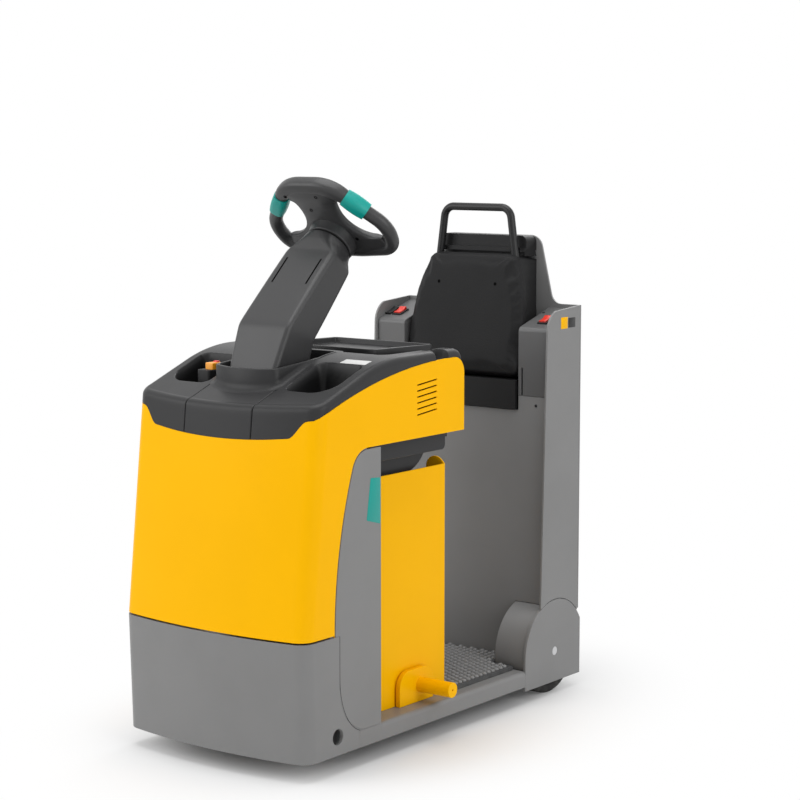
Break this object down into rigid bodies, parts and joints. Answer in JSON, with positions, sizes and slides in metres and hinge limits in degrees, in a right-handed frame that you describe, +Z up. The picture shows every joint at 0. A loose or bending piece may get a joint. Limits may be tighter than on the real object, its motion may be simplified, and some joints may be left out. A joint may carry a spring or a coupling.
{
  "type": "stand-on tow tractor",
  "caption": "Compact electric stand-on tow tractor with a steered front drive wheel, leaning steering column, side-change battery bay, standing platform, padded backrest and rear coupling.",
  "frame": {"origin": "on the ground, midway between the front of the apron and the rear of the tow coupling, on the centre plane", "axes": "+X forward, +Y to the vehicle's left, +Z up"},
  "size_m": [1.304, 0.712, 1.444],
  "materials": {
    "yellow_paint": "semi-gloss warm yellow paint",
    "grey_paint": "satin mid-grey paint",
    "charcoal_plastic": "finely grained charcoal moulding",
    "black_plastic": "matt black moulding",
    "pad_leather": "black integral-foam skin",
    "black_paint": "satin black paint",
    "battery_paint": "dark trough paint",
    "black_rubber": "matt rubber",
    "tyre": "solid tyre",
    "bare_steel": "turned steel",
    "cast_housing": "cast and machined",
    "teal_plastic": "smooth teal sleeve",
    "red_plastic": "smooth red rocker",
    "orange_plastic": "smooth orange-red cap"
  },
  "bodies": {
    "chassis": {"front_apron": "grey_paint", "side_panel_left": "grey_paint", "side_panel_right": "grey_paint", "hood_shell": "yellow_paint", "top_cover_centre": "charcoal_plastic", "top_cover_left": "charcoal_plastic", "top_cover_right": "charcoal_plastic", "document_tray": "charcoal_plastic", "steering_column": "charcoal_plastic", "emergency_switch": "orange_plastic", "knee_tub": "charcoal_plastic", "release_tab": "charcoal_plastic", "battery_block": "battery_paint", "battery_cover_left": "yellow_paint", "battery_cover_right": "yellow_paint", "battery_locks": "yellow_paint", "sills": "grey_paint", "floor_plate": "grey_paint", "platform_mat": "black_rubber", "rear_wall": "grey_paint", "rear_panel": "grey_paint", "side_plates": "grey_paint", "column_covers": "grey_paint", "rocker_switches": "red_plastic", "backrest_housing": "black_plastic", "backrest_pad": "pad_leather", "grab_hoop": "black_paint", "fender_left": "grey_paint", "fender_right": "grey_paint", "rear_axles": "bare_steel", "coupling_jaw": "black_paint", "drive_bracket": "grey_paint"},
    "drive_unit": {"drive_fork": "cast_housing", "drive_motor": "black_paint"},
    "drive_wheel": {"drive_tyre": "tyre", "drive_hub": "cast_housing"},
    "rear_wheel_left": {"rear_tyre_left": "tyre", "rear_hub_left": "cast_housing"},
    "rear_wheel_right": {"rear_tyre_right": "tyre", "rear_hub_right": "cast_housing"},
    "steering_wheel": {"steering_wheel": "charcoal_plastic", "thumb_switches": "teal_plastic"},
    "coupling_pin": {"coupling_pin": "bare_steel"}
  },
  "joints": [
    {"name": "drive_steer", "type": "hinge", "parent": "chassis", "child": "drive_unit", "pos_m": [0.44, 0, 0.3], "axis": [0, 0, 1], "range_deg": [-90, 90]},
    {"name": "drive_spin", "type": "hinge", "parent": "drive_unit", "child": "drive_wheel", "pos_m": [0.44, 0, 0.115], "axis": [0, 1, 0], "continuous": true},
    {"name": "rear_spin_left", "type": "hinge", "parent": "chassis", "child": "rear_wheel_left", "pos_m": [-0.468, 0.248, 0.122], "axis": [0, 1, 0], "continuous": true},
    {"name": "rear_spin_right", "type": "hinge", "parent": "chassis", "child": "rear_wheel_right", "pos_m": [-0.468, -0.248, 0.122], "axis": [0, 1, 0], "continuous": true},
    {"name": "wheel_turn", "type": "hinge", "parent": "chassis", "child": "steering_wheel", "pos_m": [0.128, 0, 1.2975], "axis": [-0.7431, 0, 0.6691], "range_deg": [-91, 91]},
    {"name": "pin_lift", "type": "slide", "parent": "chassis", "child": "coupling_pin", "axis": [0, 0, 1], "range_m": [0, 0.085]}
  ],
  "couplings": [
    {"joint": "wheel_turn", "follows": "drive_steer", "ratio": 1}
  ]
}
